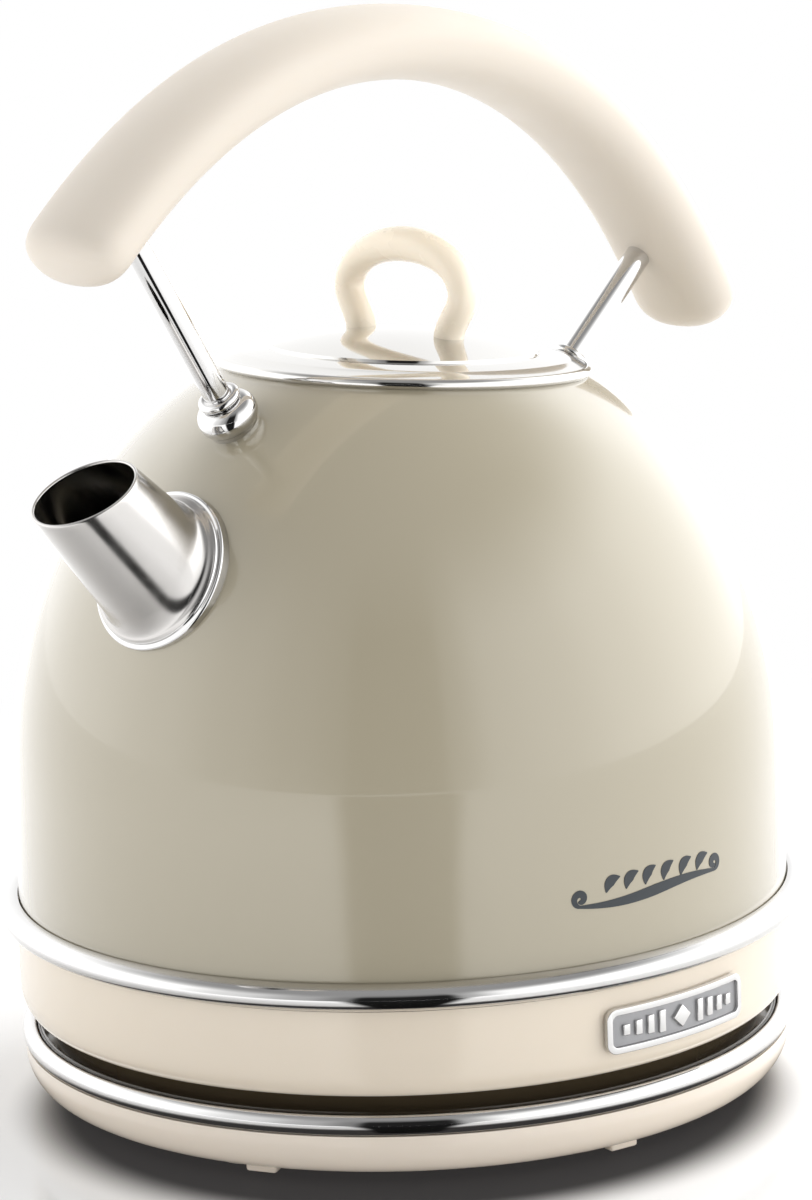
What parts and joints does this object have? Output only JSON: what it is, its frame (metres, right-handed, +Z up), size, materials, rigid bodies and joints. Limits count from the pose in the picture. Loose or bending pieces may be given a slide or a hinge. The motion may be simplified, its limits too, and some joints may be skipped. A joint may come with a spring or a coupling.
{
  "type": "electric kettle",
  "caption": "Domed electric kettle with an arched handle on steel posts, a lift-off lid with a loop knob, a short spout and a round cordless power base.",
  "frame": {"origin": "on the surface that the feet stand on, below the middle of the whole object's length and width; the dome's axis is at X = -4.23 mm", "axes": "+Z up, the spout points to -X, the badge side faces -Y and the switch is at +X"},
  "size_m": [0.23, 0.195, 0.2587],
  "materials": {
    "cream_paint": "high gloss olive cream lacquer",
    "cream_plastic": "gloss moulded, light cream",
    "base_plastic": "fine spark texture, light cream",
    "handle_plastic": "soft matte moulded, warm off-white",
    "knob_plastic": "semi-gloss moulded, peach cream",
    "chrome": "mirror",
    "steel": "polished stainless steel",
    "badge_metal": "satin grey field",
    "aluminium": "matte sheath",
    "brass": "satin contact metal",
    "black_plastic": "satin, heat resistant",
    "brown_plastic": "satin dark brown",
    "rubber": "matte, pale grey",
    "silicone": "matte translucent white"
  },
  "bodies": {
    "power_base": {"base_cover": "cream_plastic", "base_trim_ring": "chrome", "base_bottom_plate": "base_plastic", "base_foot_1": "rubber", "base_foot_2": "rubber", "base_foot_3": "rubber", "base_foot_4": "rubber", "base_foot_5": "rubber", "base_screw_1": "steel", "base_screw_2": "steel", "base_screw_3": "steel", "cord_gland": "black_plastic", "connector_pillar": "black_plastic", "connector_contact_ring": "brass", "connector_pin": "brass"},
    "socket": {"connector_socket": "black_plastic"},
    "kettle": {"dome_body": "cream_paint", "trim_ring": "chrome", "mouth_neck": "steel", "collar": "cream_plastic", "underside_cover": "brown_plastic", "cover_screw_1": "steel", "cover_screw_2": "steel", "cover_screw_3": "steel", "heater_plate": "steel", "plate_seal": "silicone", "clamp_ring": "steel", "heating_element": "aluminium", "steam_tube": "steel", "thermostat_control": "black_plastic", "bimetal_disc": "brass", "switch_pin": "steel", "switch_bracket": "steel", "badge_frame": "chrome", "badge_plate": "badge_metal", "spout": "steel", "spout_flange": "steel", "handle": "handle_plastic", "post_front": "chrome", "post_rear": "chrome", "post_boss_front": "chrome", "post_boss_rear": "chrome", "post_collar_front": "chrome", "post_collar_rear": "chrome", "post_nut_front": "steel", "post_nut_rear": "steel"},
    "lid": {"lid_cover": "chrome", "lid_skirt": "steel", "lid_seal": "silicone", "lid_knob": "knob_plastic", "knob_screw_1": "steel", "knob_screw_2": "steel"},
    "switch": {"switch_lever": "cream_plastic"}
  },
  "joints": [
    {"name": "kettle_lift", "type": "slide", "parent": "power_base", "child": "socket", "axis": [0, 0, 1], "range_m": [0, 0.12]},
    {"name": "kettle_turn", "type": "hinge", "parent": "socket", "child": "kettle", "pos_m": [-0.00423, 0, 0.03], "axis": [0, 0, 1], "continuous": true},
    {"name": "lid_lift", "type": "slide", "parent": "kettle", "child": "lid", "axis": [0.0845, 0, 0.9964], "range_m": [0, 0.03]},
    {"name": "switch_throw", "type": "hinge", "parent": "kettle", "child": "switch", "pos_m": [0.07977, 0, 0.033], "axis": [0, 1, 0], "range_deg": [0, 14]}
  ]
}
